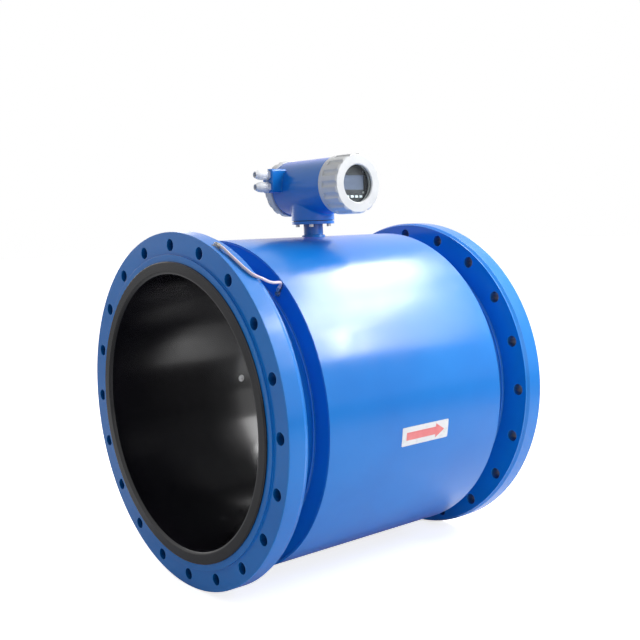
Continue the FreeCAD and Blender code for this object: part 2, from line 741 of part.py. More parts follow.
def window_gasket():
    return front_ring(GASKET_AT, WINDOW_GASKET_T, GLASS_R - WINDOW_GASKET_W, GLASS_R)


def window_retainer():
    """Ring screwed in behind the glass."""
    return front_ring(RETAINER_AT, RETAINER_T, GLASS_SEAT_R - RETAINER_W, GLASS_SEAT_R)


def rear_cover():
    """Blind screwed cover over the terminal chamber."""
    seat_at = REAR_COVER_L - REAR_SEAT_T
    profile = [
        (COVER_GAP, COVER_THREAD_R),
        (COVER_GAP, COVER_R - COVER_CHAMFER),
        (COVER_GAP + COVER_CHAMFER, COVER_R),
        (REAR_COVER_L - COVER_FACE_CHAMFER, COVER_R),
        (REAR_COVER_L, COVER_R - COVER_FACE_CHAMFER),
        (REAR_COVER_L, 0),
        (REAR_COVER_L - REAR_COVER_WALL, 0),
        (REAR_COVER_L - REAR_COVER_WALL, REAR_COVER_HOLLOW_D / 2),
        (seat_at, REAR_COVER_HOLLOW_D / 2),
        (seat_at, COVER_THREAD_R),
    ]
    return turn_about_head(profile, "rear").cut(grips(REAR_COVER_L, "rear"))


def rear_gasket():
    """Flat ring in the rear cover that meets the end of the barrel."""
    at = SPIGOT_REAR_L + GLASS_CLEARANCE
    end = REAR_COVER_L - REAR_SEAT_T - FLAT_GAP
    outer_r = COVER_THREAD_R - GLASS_CLEARANCE
    inner_r = outer_r - REAR_GASKET_W
    profile = [(at, inner_r), (at, outer_r), (end, outer_r), (end, inner_r)]
    return turn_about_head(profile, "rear")


# ------------------------------------------------------------------ display
def key_positions():
    first = -KEY_PITCH * (KEY_COUNT - 1) / 2
    return [first + i * KEY_PITCH for i in range(KEY_COUNT)]


def display_screw_positions():
    return [(x, LCD_RISE + z) for x in (-DISPLAY_SCREW_X, DISPLAY_SCREW_X)
            for z in (-DISPLAY_SCREW_Z, DISPLAY_SCREW_Z)]


def display_bezel():
    """Round cup over the display, with a window, key holes and screw holes."""
    back = BEZEL_FRONT_AT - BEZEL_DEPTH
    cup = head_disc(back, BEZEL_FRONT_AT, BEZEL_D / 2)
    hollow = head_disc(back, BEZEL_FRONT_AT - BEZEL_T, BEZEL_D / 2 - BEZEL_WALL)
    cuts = [hollow, head_block(back, BEZEL_FRONT_AT, LCD_VIEW_L, LCD_VIEW_H, up=LCD_RISE)]
    for across in key_positions():
        hole_l = KEY_L + 2 * KEY_CLEARANCE
        hole_h = KEY_H + 2 * KEY_CLEARANCE
        cuts.append(head_block(back, BEZEL_FRONT_AT, hole_l, hole_h, across, -KEY_DROP))
    for across, up in display_screw_positions():
        cuts.append(head_disc(back, BEZEL_FRONT_AT, DISPLAY_SCREW_D / 2, across, up))
    return cup.cut(cuts)


def lcd_panel():
    back = BEZEL_FRONT_AT - BEZEL_DEPTH
    return head_block(back, BEZEL_FRONT_AT - BEZEL_T, LCD_L, LCD_H, up=LCD_RISE)


def display_key(across):
    """Key in its hole, with a flange behind the bezel that keeps it in."""
    flange_front = BEZEL_FRONT_AT - BEZEL_T - KEY_FLANGE_GAP
    stem = head_block(flange_front - KEY_TAIL, BEZEL_FRONT_AT + KEY_PROUD, KEY_L, KEY_H, across, -KEY_DROP)
    flange = head_block(flange_front - KEY_FLANGE_T, flange_front,
                        KEY_L + 2 * KEY_FLANGE, KEY_H + 2 * KEY_FLANGE, across, -KEY_DROP)
    return stem.fuse(flange).removeSplitter()


def display_screws():
    screws = []
    for across, up in display_screw_positions():
        head = head_disc(BEZEL_FRONT_AT, BEZEL_FRONT_AT + DISPLAY_SCREW_HEAD_H,
                         DISPLAY_SCREW_HEAD_D / 2, across, up)
        shank = head_disc(DISPLAY_BOARD_AT, BEZEL_FRONT_AT, DISPLAY_SCREW_D / 2, across, up)
        screws.append(head.fuse(shank).removeSplitter().cut(cross_slot(across, up)))
    return screws


def cross_slot(across, up):
    """Cross in the head of a display screw."""
    top = BEZEL_FRONT_AT + DISPLAY_SCREW_HEAD_H
    floor = top - DISPLAY_SCREW_SLOT_DEPTH
    reach = 0.6 * DISPLAY_SCREW_HEAD_D
    return [head_block(floor, top, reach, DISPLAY_SCREW_SLOT_W, across, up),
            head_block(floor, top, DISPLAY_SCREW_SLOT_W, reach, across, up)]


def posts():
    """Posts from the partition that carry the boards and the display."""
    foot = Vector(NECK_X, PARTITION_Y - PARTITION_T / 2, HEAD_Z + POST_CIRCLE_D / 2)
    length = DISPLAY_BOARD_AT - PARTITION_AT
    post = Part.makeCylinder(POST_D / 2, length, foot, -Y_AXIS)
    centre = Vector(NECK_X, 0, HEAD_Z)
    post.rotate(centre, Y_AXIS, 180.0 / POST_COUNT)
    return turned_round(post, POST_COUNT, centre, Y_AXIS)


def display_board():
    end = DISPLAY_BOARD_AT + BOARD_T
    board = head_disc(DISPLAY_BOARD_AT, end, DISPLAY_BOARD_D / 2)
    return board.cut([head_disc(DISPLAY_BOARD_AT, end, DISPLAY_SCREW_D / 2, across, up)
                      for across, up in display_screw_positions()])


def main_board(distance):
    """Round board at a distance in front of the partition."""
    at = PARTITION_AT + distance
    return head_disc(at, at + BOARD_T, CHAMBER_R - BOARD_ROOM).cut(posts())


def power_board():
    at = PARTITION_AT + POWER_BOARD_AT
    front = at + BOARD_T
    parts = [head_block(front, front + TRANSFORMER_H, TRANSFORMER_L, TRANSFORMER_W,
                        up=TRANSFORMER_RISE)]
    for across in (-CAPACITOR_SPREAD, CAPACITOR_SPREAD):
        parts.append(head_disc(front, front + CAPACITOR_H, CAPACITOR_D / 2, across, -CAPACITOR_DROP))
    return main_board(POWER_BOARD_AT).fuse(parts).removeSplitter()


def signal_board():
    front = PARTITION_AT + SIGNAL_BOARD_AT + BOARD_T
    chips = [head_block(front, front + CHIP_T, CHIP_L, CHIP_L, across=across)
             for across in (-CHIP_L, CHIP_L)]
    return main_board(SIGNAL_BOARD_AT).fuse(chips).removeSplitter()


def terminal_block():
    """Row of terminals on the rear of the partition, with a channel above each screw."""
    back = PARTITION_Y + PARTITION_T / 2
    corner = Vector(NECK_X - TERMINAL_L / 2, back, HEAD_Z - TERMINAL_DROP - TERMINAL_W / 2)
    block = Part.makeBox(TERMINAL_L, TERMINAL_H, TERMINAL_W, corner)
    wells = []
    for x in terminal_positions():
        foot = Vector(x, back + TERMINAL_H - TERMINAL_SCREW_H, HEAD_Z - TERMINAL_DROP)
        wells.append(Part.makeCylinder(TERMINAL_SCREW_D / 2 + 1, TERMINAL_SCREW_H, foot, Y_AXIS))
    return block.cut(wells)


def terminal_positions():
    pitch = TERMINAL_L / TERMINAL_COUNT
    first = NECK_X - TERMINAL_L / 2 + pitch / 2
    return [first + i * pitch for i in range(TERMINAL_COUNT)]


def terminal_screws():
    screws = []
    for x in terminal_positions():
        depth = PARTITION_Y + PARTITION_T / 2 + TERMINAL_H - TERMINAL_SCREW_H
        foot = Vector(x, depth, HEAD_Z - TERMINAL_DROP)
        screws.append(Part.makeCylinder(TERMINAL_SCREW_D / 2, TERMINAL_SCREW_H - 1, foot, Y_AXIS))
    return screws


# ------------------------------------------------------------------ cable glands
def gland_rises():
    return [GLAND_RISE, GLAND_RISE - GLAND_PITCH]


def gland_body(rise):
    """Gland body: threaded into the boss, a hexagon, and a spigot for the nut."""
    spigot_end = GLAND_BODY_T + GLAND_SPIGOT_L
    inner = [(-GLAND_INNER_L, GLAND_BORE_D / 2), (-GLAND_INNER_L, GLAND_HOLE_D / 2),
             (0, GLAND_HOLE_D / 2), (0, GLAND_BORE_D / 2)]
    spigot = [(GLAND_BODY_T, GLAND_BORE_D / 2), (GLAND_BODY_T, GLAND_SPIGOT_D / 2),
              (spigot_end, GLAND_SPIGOT_D / 2), (spigot_end, GLAND_BORE_D / 2)]
    foot = Vector(BOSS_X, BOSS_Y, HEAD_Z + rise)
    middle = hexagon(GLAND_BODY_AF, GLAND_BODY_T, foot, -X_AXIS)
    middle = middle.cut(Part.makeCylinder(GLAND_BORE_D / 2, GLAND_BODY_T, foot, -X_AXIS))
    parts = [turn_about_gland(inner, rise), turn_about_gland(spigot, rise)]
    return middle.fuse(parts).removeSplitter()


def gland_nut(rise):
    """Domed nut with a fluted grip that squeezes the seal onto the cable."""
    start = GLAND_BODY_T + GLAND_NUT_GAP
    plain_end = start + GLAND_NUT_PLAIN_L
    tip = start + GLAND_NUT_L
    outer_r = GLAND_NUT_D / 2
    thread_r = GLAND_SPIGOT_D / 2 + THREAD_CLEARANCE
    seal_r = SEAL_D / 2 + SEAL_CLEARANCE
    thread_end = GLAND_BODY_T + GLAND_SPIGOT_L + 1
    seal_end = gland_seal_at() + SEAL_L + SEAL_CLEARANCE
    waist = (plain_end + tip) / 2
    waist_r = GLAND_NUT_TIP_D / 2 + GLAND_NUT_BULGE * (outer_r - GLAND_NUT_TIP_D / 2)
    profile = [
        (start, thread_r),
        (start, outer_r - 1),
        (start + 1, outer_r),
        (plain_end, outer_r),
        (waist, waist_r),
        (tip - 2, GLAND_NUT_TIP_D / 2),
        (tip, GLAND_NUT_TIP_D / 2 - 1),
        (tip, GLAND_MOUTH_D / 2),
        (seal_end, GLAND_MOUTH_D / 2),
        (seal_end, seal_r),
        (thread_end, seal_r),
        (thread_end, thread_r),
    ]
    nut = turn_about_gland(profile, rise)
    flute_foot = Vector(BOSS_X - start, BOSS_Y, HEAD_Z + rise + outer_r + GLAND_FLUTE_R / 2)
    flute = Part.makeCylinder(GLAND_FLUTE_R, GLAND_NUT_PLAIN_L, flute_foot, -X_AXIS)
    axis_point = Vector(BOSS_X, BOSS_Y, HEAD_Z + rise)
    return nut.cut(turned_round(flute, GLAND_FLUTES, axis_point, X_AXIS))


def gland_seal_at():
    return GLAND_BODY_T + GLAND_SPIGOT_L + SEAL_CLEARANCE


def gland_seal(rise):
    at = gland_seal_at()
    end = at + SEAL_L
    profile = [(at, CABLE_D / 2), (at, SEAL_D / 2), (end, SEAL_D / 2), (end, CABLE_D / 2)]
    return turn_about_gland(profile, rise)


# ------------------------------------------------------------------ label and bonding lead
def flow_arrow_label():
    """Thin plate that follows the shell's curve on the display side."""
    middle = around(LABEL_X, SHELL_R, LABEL_ANGLE)
    corner = Vector(LABEL_X - LABEL_L / 2, -SHELL_R - LABEL_T, middle.z - LABEL_H / 2)
    block = Part.makeBox(LABEL_L, SHELL_R / 2, LABEL_H, corner)
    across = [edge for edge in block.Edges if abs(edge.tangentAt(0).y) > 0.99]
    block = block.makeFillet(LABEL_CORNER_R, across)
    return block.common(pipe_ring(-SHELL_X, SHELL_X, SHELL_R, SHELL_R + LABEL_T))


def rim_lug_place():
    """Foot, outward normal and wire direction of the lug on the inlet flange's rim."""
    foot = around(-PLATE_X + RIM_LUG_SETBACK, FLANGE_R, RIM_LUG_ANGLE)
    return foot, outward(RIM_LUG_ANGLE), along_rim(RIM_LUG_ANGLE)


def shell_lug_place():
    """The same for the lug on the inlet end plate."""
    foot = around(-END_PLATE_X, SHELL_LUG_R, SHELL_LUG_ANGLE)
    return foot, -X_AXIS, outward(SHELL_LUG_ANGLE)


def lug(place):
    """Ring terminal: a flat ring, a tongue and the barrel that grips the wire."""
    foot, normal, along = place
    ring = Part.makeCylinder(LUG_RING_D / 2, LUG_T, foot, normal)
    side = normal.cross(along)
    width = LEAD_D + 2 * LUG_BARREL_T
    corners = []
    for reach, offset in ((0, -1), (LUG_BARREL_AT + LUG_BARREL_L, -1), (LUG_BARREL_AT + LUG_BARREL_L, 1), (0, 1)):
        corners.append(foot + along * reach + side * (offset * width / 2))
    tongue = Part.Face(Part.makePolygon(corners + corners[:1])).extrude(normal * LUG_T)
    start = foot + along * LUG_BARREL_AT + normal * WIRE_RISE
    barrel_solid = Part.makeCylinder(LEAD_R + LUG_BARREL_T, LUG_BARREL_L, start, along)
    wire_room = Part.makeCylinder(LEAD_R, LUG_BARREL_L, start, along)
    screw_room = Part.makeCylinder(LEAD_SCREW_D / 2, LUG_T, foot, normal)
    return ring.fuse([tongue, barrel_solid]).removeSplitter().cut([wire_room, screw_room])


def lead_screw(place):
    """Screw through a lug, with a hexagon socket in its head."""
    foot, normal, _ = place
    head = Part.makeCylinder(LEAD_SCREW_HEAD_D / 2, LEAD_SCREW_HEAD_H, foot + normal * LUG_T, normal)
    shank_l = LEAD_SCREW_BITE + LUG_T
    shank = Part.makeCylinder(LEAD_SCREW_D / 2, shank_l, foot - normal * LEAD_SCREW_BITE, normal)
    socket_foot = foot + normal * (LUG_T + LEAD_SCREW_HEAD_H - LEAD_SCREW_KEY_DEPTH)
    socket = hexagon(LEAD_SCREW_KEY_AF, LEAD_SCREW_KEY_DEPTH, socket_foot, normal)
    return head.fuse(shank).removeSplitter().cut(socket)


def lead_points():
    foot, normal, along = rim_lug_place()
    start = foot + along * LUG_BARREL_AT + normal * WIRE_RISE
    points = [start, start + along * (LUG_BARREL_L + LEAD_LEAVE)]
    points += [around(-PLATE_X + setback, FLANGE_R + rise, angle)
               for setback, rise, angle in RIM_ROUTE]
    points += [around(-END_PLATE_X - reach, SHELL_LUG_R + rise, angle)
               for reach, rise, angle in GAP_ROUTE]
    foot, normal, along = shell_lug_place()
    end = foot + along * LUG_BARREL_AT + normal * WIRE_RISE
    return points + [end + along * (LUG_BARREL_L + LEAD_LEAVE), end]


def bonding_lead():
    """Insulated wire on a path of straight runs joined by tangent arcs."""
    points = lead_points()
    edges = []
    radii = []
    start = points[0]
    for before, corner, after in zip(points, points[1:], points[2:]):
        incoming = (corner - before).normalize()
        outgoing = (after - corner).normalize()
        half_turn = incoming.getAngle(outgoing) / 2
        cut_back = 0.45 * min(before.distanceToPoint(corner), corner.distanceToPoint(after))
        radius = cut_back / math.tan(half_turn)
        inward = (outgoing - incoming).normalize()
        centre = corner + inward * (radius / math.cos(half_turn))
        arc_start = corner - incoming * cut_back
        arc_end = corner + outgoing * cut_back
        edges.append(Part.LineSegment(start, arc_start).toShape())
        edges.append(Part.Arc(arc_start, centre - inward * radius, arc_end).toShape())
        radii.append(round(radius, 1))
        start = arc_end
    edges.append(Part.LineSegment(start, points[-1]).toShape())
    length = sum(edge.Length for edge in edges)
    first_run = points[1] - points[0]
    section = Part.Wire(Part.Circle(points[0], first_run, LEAD_R).toShape())
    tube = Part.Wire(edges).makePipeShell([section], True, False)
    print("bonding lead: length", round(length, 1), "mm, bend radii", radii)
    print("bonding lead: volume", round(tube.Volume), "of", round(math.pi * LEAD_R ** 2 * length))
    return tube


# ------------------------------------------------------------------ assembly
def sensor_pieces():
    inlet_flange = flange_plate()
    lead_screws = [lead_screw(rim_lug_place()), lead_screw(shell_lug_place())]
    coil = saddle_coil()
    pole = pole_piece()
    return {
        "inlet_flange": inlet_flange.cut(lead_screws[0]),
        "outlet_flange": mirrored(inlet_flange),
        "measuring_tube": measuring_tube(),
        "rubber_liner": rubber_liner(),
        "housing_shell": housing_shell(),
        "inlet_end_plate": end_plate().cut(lead_screws[1]),
        "outlet_end_plate": mirrored(end_plate()),
        "upper_coil": coil,
        "lower_coil": flipped(coil),
        "upper_pole_piece": pole,
        "lower_pole_piece": flipped(pole),
        "magnetic_yoke": magnetic_yoke(),
        "near_electrode": electrode(-1),
        "far_electrode": electrode(1),
        "near_electrode_bush": electrode_bush(-1),
        "far_electrode_bush": electrode_bush(1),
        "near_electrode_nut": electrode_nut(-1),
        "far_electrode_nut": electrode_nut(1),
        "flow_arrow_label": flow_arrow_label(),
        "rim_lug": lug(rim_lug_place()),
        "shell_lug": lug(shell_lug_place()),
        "lead_screws": Part.Compound(lead_screws),
        "bonding_lead": bonding_lead(),
    }


def converter_pieces():
    pieces = {
        "neck_pipe": neck_pipe(),
        "neck_plate": neck_plate(),
        "neck_gasket": neck_gasket(),
        "neck_screws": Part.Compound(neck_screws()),
        "converter_housing": converter_housing(),
        "front_cover_seal": cover_seal("front"),
        "rear_cover_seal": cover_seal("rear"),
        "front_cover": front_cover(),
        "window_glass": window_glass(),
        "window_gasket": window_gasket(),
        "window_retainer": window_retainer(),
        "rear_cover": rear_cover(),
        "rear_gasket": rear_gasket(),
        "display_bezel": display_bezel(),
        "lcd_panel": lcd_panel(),
        "display_board": display_board(),
        "display_screws": Part.Compound(display_screws()),
        "board_posts": Part.Compound(posts()),
        "power_board": power_board(),
        "signal_board": signal_board(),
        "terminal_block": terminal_block(),
        "terminal_screws": Part.Compound(terminal_screws()),
    }
    for number, across in enumerate(key_positions(), start=1):
        pieces["display_key_%d" % number] = display_key(across)
    for name, rise in zip(("upper", "lower"), gland_rises()):
        pieces[name + "_gland_body"] = gland_body(rise)
        pieces[name + "_gland_nut"] = gland_nut(rise)
        pieces[name + "_gland_seal"] = gland_seal(rise)
    return pieces


def main():
    os.makedirs("parts", exist_ok=True)
    pieces = {**sensor_pieces(), **converter_pieces()}
    for name, shape in pieces.items():
        shape.exportStep("parts/" + name + ".step")
        print(name, "solids", len(shape.Solids), "valid", shape.isValid(), "volume", round(shape.Volume))


main()
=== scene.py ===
"""Looks for the electromagnetic flow meter: paint, liner, welds, label, lights and camera."""
import json
import math
import bpy
from mathutils import Matrix, Vector, noise


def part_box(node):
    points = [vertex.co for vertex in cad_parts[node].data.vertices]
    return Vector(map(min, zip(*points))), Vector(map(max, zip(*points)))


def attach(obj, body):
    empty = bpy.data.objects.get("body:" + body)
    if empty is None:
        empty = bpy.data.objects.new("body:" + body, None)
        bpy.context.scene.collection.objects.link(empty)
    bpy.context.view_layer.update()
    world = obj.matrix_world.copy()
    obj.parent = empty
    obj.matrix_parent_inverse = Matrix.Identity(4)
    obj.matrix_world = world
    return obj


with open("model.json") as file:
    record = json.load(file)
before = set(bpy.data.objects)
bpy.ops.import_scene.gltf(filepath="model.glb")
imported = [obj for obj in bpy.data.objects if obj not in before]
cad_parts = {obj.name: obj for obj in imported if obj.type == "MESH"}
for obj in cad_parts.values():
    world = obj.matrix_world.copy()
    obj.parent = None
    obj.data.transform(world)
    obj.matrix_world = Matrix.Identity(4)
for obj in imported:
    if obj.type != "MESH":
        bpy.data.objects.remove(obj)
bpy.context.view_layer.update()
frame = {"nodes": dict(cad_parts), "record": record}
NODES = frame["nodes"]

MM = 0.001
WELD_LEG = 6 * MM              # fillet welds of the model
NECK_FLARE = 5 * MM            # how far the weld at the neck's foot reaches past its wall
BEAD_R = 3.4 * MM              # bead laid in a fillet
BEAD_SET = 2.2 * MM            # how far that bead's middle stands off the corner it fills
BEAD_PITCH = 6 * MM            # from one ripple to the next
BEAD_SIDES = 10
BEAD_TROUGH = 0.9              # a ripple's heights as shares of the bead's radius
BEAD_RIPPLE = 0.13
BEAD_WOBBLE = 0.06
BEAD_WOBBLE_SCALE = 60.0
SHELL_BEAD_R = 2.2 * MM        # lighter bead where an end plate meets the shell
SHELL_BEAD_INSET = 1.6 * MM    # its middle, in from the shell's edge
SHELL_BEAD_SINK = 1.2 * MM     # and in from the shell's inner face
NECK_BEAD_R = 3.2 * MM
NECK_BEAD_SET = 1.6 * MM
NECK_BEAD_PITCH = 5 * MM
RIPPLE_POINTS = 4              # places along each ripple of a bead round the pipe
BEAD_STEP = 1.5 * MM           # spacing of the places along the neck and seam beads
SEAM_R = 3.2 * MM
SEAM_SINK = 1.2 * MM
SEAM_END = 12 * MM             # the seam stops short of the shell's edges
PRINT_LIFT = 0.15 * MM         # ink over the label
ARROW_L = 0.82                 # the arrow's parts as shares of its label
ARROW_BODY = 0.42
ARROW_HEAD = 0.78
ARROW_HEAD_L = 0.19
ARROW_COLUMNS = 20
ARROW_ROWS = 6
CREVICE_REACH = 60 * MM        # how far a recess still darkens the enamel as painted shade
POLISH_FULL = 40 * MM           # the liner's polish fades between these depths from its face
POLISH_NONE = 8 * MM
FLOOR_HALF = 30.0
FLOOR_GLOW = 0.78              # keeps the floor white in the picture
WORLD_LEVEL = 0.4              # light given by the world, which is seen at 1

# ------------------------------------------------------------------ sizes read from the frame
FLANGE_LOW, FLANGE_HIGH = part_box("inlet_flange")
SHELL_LOW, SHELL_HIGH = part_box("housing_shell")
PLATE_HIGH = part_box("outlet_end_plate")[1]
TUBE_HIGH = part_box("measuring_tube")[1]
LABEL_LOW, LABEL_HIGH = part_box("flow_arrow_label")
NECK_LOW, NECK_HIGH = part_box("neck_pipe")
FLANGE_R = FLANGE_HIGH.z
SHELL_R = -SHELL_LOW.z
SHELL_X = SHELL_HIGH.x
FLANGE_FACE_X = -FLANGE_LOW.x
FLOOR_Z = -FLANGE_R
SHELL_IN_R = PLATE_HIGH.z
TUBE_R = TUBE_HIGH.z - WELD_LEG
NECK_AXIS_X = (NECK_LOW.x + NECK_HIGH.x) / 2
NECK_R = (NECK_HIGH.x - NECK_LOW.x) / 2 - NECK_FLARE


# ------------------------------------------------------------------ material helpers
class Paint:
    """A node material with short ways to add noise, bands, bumps and mixes."""

    def __init__(self, name, color, roughness, metallic=0.0):
        self.material = bpy.data.materials.new(name)
        self.material.use_nodes = True
        self.tree = self.material.node_tree
        self.shader = self.tree.nodes["Principled BSDF"]
        self.shader.inputs["Base Color"].default_value = (*color, 1)
        self.shader.inputs["Roughness"].default_value = roughness
        self.shader.inputs["Metallic"].default_value = metallic
        self.place = self.node("ShaderNodeTexCoord").outputs["Object"]

    def node(self, kind, **settings):
        made = self.tree.nodes.new(kind)
        for name, value in settings.items():
            setattr(made, name, value)
        return made

    def link(self, output, made, socket):
        self.tree.links.new(output, made.inputs[socket])

    def set(self, **values):
        for name, value in values.items():
            self.shader.inputs[name.replace("_", " ")].default_value = value

    def noise(self, scale, detail=3.0, stretch=(1, 1, 1)):
        mapping = self.node("ShaderNodeMapping")
        mapping.inputs["Scale"].default_value = stretch
        self.link(self.place, mapping, "Vector")
        texture = self.node("ShaderNodeTexNoise")
        texture.inputs["Scale"].default_value = scale
        texture.inputs["Detail"].default_value = detail
        self.link(mapping.outputs["Vector"], texture, "Vector")
        return texture.outputs["Fac"]

    def bands(self, scale, direction="X", distortion=0.0):
        texture = self.node("ShaderNodeTexWave", wave_type="BANDS", bands_direction=direction)
        texture.inputs["Scale"].default_value = scale
        texture.inputs["Distortion"].default_value = distortion
        self.link(self.place, texture, "Vector")
        return texture.outputs["Fac"]

    def cells(self, scale):
        texture = self.node("ShaderNodeTexVoronoi")
        texture.inputs["Scale"].default_value = scale
        self.link(self.place, texture, "Vector")
        return texture.outputs["Distance"]

    def ramp(self, value, low, high, start=0.3, end=0.7):
        ramp = self.node("ShaderNodeMapRange")
        ramp.inputs["From Min"].default_value = start
        ramp.inputs["From Max"].default_value = end
        ramp.inputs["To Min"].default_value = low
        ramp.inputs["To Max"].default_value = high
        self.link(value, ramp, "Value")
        return ramp.outputs["Result"]

    def mix(self, value, first, second):
        """Blend of two colours, where the first may be the output of another node."""
        mixer = self.node("ShaderNodeMix", data_type="RGBA")
        self.link(value, mixer, "Factor")
        if isinstance(first, tuple):
            mixer.inputs[6].default_value = (*first, 1)
        else:
            self.link(first, mixer, 6)
        mixer.inputs[7].default_value = (*second, 1)
        return mixer.outputs[2]

    def darken(self, color, factor):
        """Colour times a factor from another node."""
        scaled = self.node("ShaderNodeVectorMath", operation="SCALE")
        self.link(color, scaled, 0)
        self.link(factor, scaled, "Scale")
        return scaled.outputs[0]

    def compute(self, operation, first, second=None):
        """Math node on one output, on two outputs, or on an output and a float."""
        made = self.node("ShaderNodeMath", operation=operation)
        self.link(first, made, 0)
        if isinstance(second, float):
            made.inputs[1].default_value = second
        elif second is not None:
            self.link(second, made, 1)
        return made.outputs[0]

    def color(self, output):
        self.link(output, self.shader, "Base Color")

    def rough(self, output):
        self.link(output, self.shader, "Roughness")

    def bump(self, value, height, strength=1.0):
        bump = self.node("ShaderNodeBump")
        bump.inputs["Distance"].default_value = height
        bump.inputs["Strength"].default_value = strength
        self.link(value, bump, "Height")
        normal = self.shader.inputs["Normal"]
        if normal.is_linked:
            self.link(normal.links[0].from_socket, bump, "Normal")
        self.link(bump.outputs["Normal"], self.shader, "Normal")

    def edges(self, radius):
        """How sharply the surface turns within a radius, from 0 on a flat to 1 on an edge."""
        soft = self.node("ShaderNodeBevel", samples=4)
        soft.inputs["Radius"].default_value = radius
        geometry = self.node("ShaderNodeNewGeometry")
        dot = self.node("ShaderNodeVectorMath", operation="DOT_PRODUCT")
        self.link(soft.outputs["Normal"], dot, 0)
        self.link(geometry.outputs["Normal"], dot, 1)
        return self.ramp(dot.outputs["Value"], 1.0, 0.0, 0.75, 0.99)

    def openness(self, reach):
        """How open the surface is within a reach, from 0 deep in a hole to 1 on a flat."""
        around = self.node("ShaderNodeAmbientOcclusion", samples=8)
        around.inputs["Distance"].default_value = reach
        return around.outputs["AO"]

    def soften(self, radius):
        """Rounds every edge in the shading, as paint and moulding do."""
        soft = self.node("ShaderNodeBevel", samples=4)
        soft.inputs["Radius"].default_value = radius
        self.link(soft.outputs["Normal"], self.shader, "Normal")


def blue_enamel():
    """Gloss enamel on rolled steel: wavy, with orange peel, a painted highlight on edges and
    painted shade in recesses.
    """
    paint = Paint("blue_enamel", (0.003, 0.195, 0.65), 0.22)
    paint.set(Specular_IOR_Level=0.5, Specular_Tint=(0.9, 0.85, 1.0, 1))
    paint.set(Coat_Weight=0.05, Coat_Roughness=0.1)
    paint.set(Sheen_Weight=0.16, Sheen_Roughness=0.3, Sheen_Tint=(0.65, 0.12, 0.85, 1))
    cloud = paint.ramp(paint.noise(4.0, 4.0), 0, 1)
    tone = paint.mix(cloud, (0.003, 0.175, 0.61), (0.004, 0.215, 0.69))
    # Painted shade: the colour darkens where ambient occlusion finds a recess, as if shade fell
    # there.
    shade = paint.ramp(paint.openness(CREVICE_REACH), 0.15, 1.0, 0.05, 0.6)
    tone_in_painted_shade = paint.darken(tone, shade)
    # Painted highlight: edges turn a paler, brighter blue, as if light caught their rounding.
    paint.color(paint.mix(paint.edges(1.6 * MM), tone_in_painted_shade, (0.02, 0.34, 0.86)))
    paint.rough(paint.ramp(paint.noise(24.0, 4.0), 0.19, 0.26))
    paint.soften(1.2 * MM)
    paint.bump(paint.noise(7.0, 1.0), 0.5 * MM, 0.2)
    paint.bump(paint.noise(420.0, 2.0), 0.04 * MM, 0.5)
    return paint.material


def white_enamel():
    """White enamel on die-cast covers."""
    paint = Paint("white_enamel", (0.76, 0.775, 0.785), 0.32)
    paint.set(Coat_Weight=0.3, Coat_Roughness=0.15)
    grime = paint.mix(paint.ramp(paint.noise(26.0, 6.0), 0, 1, 0.45, 0.75),
                      (0.69, 0.705, 0.715), (0.60, 0.615, 0.635))
    paint.color(grime)
    paint.rough(paint.ramp(paint.noise(60.0, 4.0), 0.26, 0.42))
    paint.soften(0.8 * MM)
    paint.bump(paint.noise(650.0, 3.0), 0.05 * MM, 0.7)
    return paint.material


def black_rubber():
    """Vulcanised liner: banded by its mandrel, polished in the bore and duller on its lips."""
    paint = Paint("black_rubber", (0.008, 0.008, 0.011), 0.2)
    paint.set(Specular_IOR_Level=0.45, Coat_IOR=1.5, Coat_Roughness=0.12)
    depth = paint.node("ShaderNodeSeparateXYZ")
    paint.link(paint.place, depth, 0)
    from_middle = paint.compute("ABSOLUTE", depth.outputs["X"])
    inner, outer = FLANGE_FACE_X - POLISH_FULL, FLANGE_FACE_X - POLISH_NONE
    polish = paint.ramp(from_middle, 1.0, 0.0, inner, outer)
    paint.link(polish, paint.shader, "Coat Weight")
    bloom = paint.ramp(paint.noise(5.0, 4.0), 0, 1, 0.4, 0.8)
    paint.color(paint.mix(bloom, (0.006, 0.006, 0.009), (0.014, 0.013, 0.018)))
    paint.rough(paint.ramp(paint.noise(9.0, 3.0, (2.0, 1, 1)), 0.17, 0.25))
    paint.bump(paint.bands(9.0, "X", 1.0), 0.08 * MM, 0.2)
    paint.bump(paint.noise(300.0, 3.0), 0.03 * MM, 0.4)
    return paint.material


def seal_rubber():
    paint = Paint("seal_rubber", (0.02, 0.02, 0.02), 0.6)
    grey = paint.ramp(paint.noise(120.0), 0, 1)
    paint.color(paint.mix(grey, (0.016, 0.016, 0.016), (0.032, 0.03, 0.03)))
    paint.bump(paint.noise(900.0, 2.0), 0.05 * MM)
    return paint.material


def metal(name, color, roughness):
    """Machined or plated metal, faintly clouded and pitted."""
    paint = Paint(name, color, roughness, metallic=1.0)
    darker = tuple(0.72 * c for c in color)
    paint.color(paint.mix(paint.ramp(paint.noise(90.0, 5.0), 0, 1), darker, color))
    paint.rough(paint.ramp(paint.noise(240.0, 4.0), roughness - 0.08, roughness + 0.12))
    paint.bump(paint.noise(700.0, 3.0), 0.03 * MM, 0.6)
    return paint.material


def core_steel():
    paint = Paint("core_steel", (0.16, 0.165, 0.175), 0.5, metallic=0.8)
    mill_scale = paint.ramp(paint.noise(40.0, 6.0), 0, 1)
    paint.color(paint.mix(mill_scale, (0.11, 0.115, 0.125), (0.22, 0.22, 0.23)))
    paint.bump(paint.bands(160.0, "X"), 0.1 * MM, 0.6)
    return paint.material


def copper_winding():
    """Enamelled copper wire laid in turns."""
    paint = Paint("copper_winding", (0.55, 0.17, 0.06), 0.32, metallic=0.85)
    turns = paint.bands(140.0, "Z", 0.6)
    paint.color(paint.mix(turns, (0.26, 0.07, 0.025), (0.70, 0.26, 0.10)))
    paint.bump(turns, 0.4 * MM)
    return paint.material


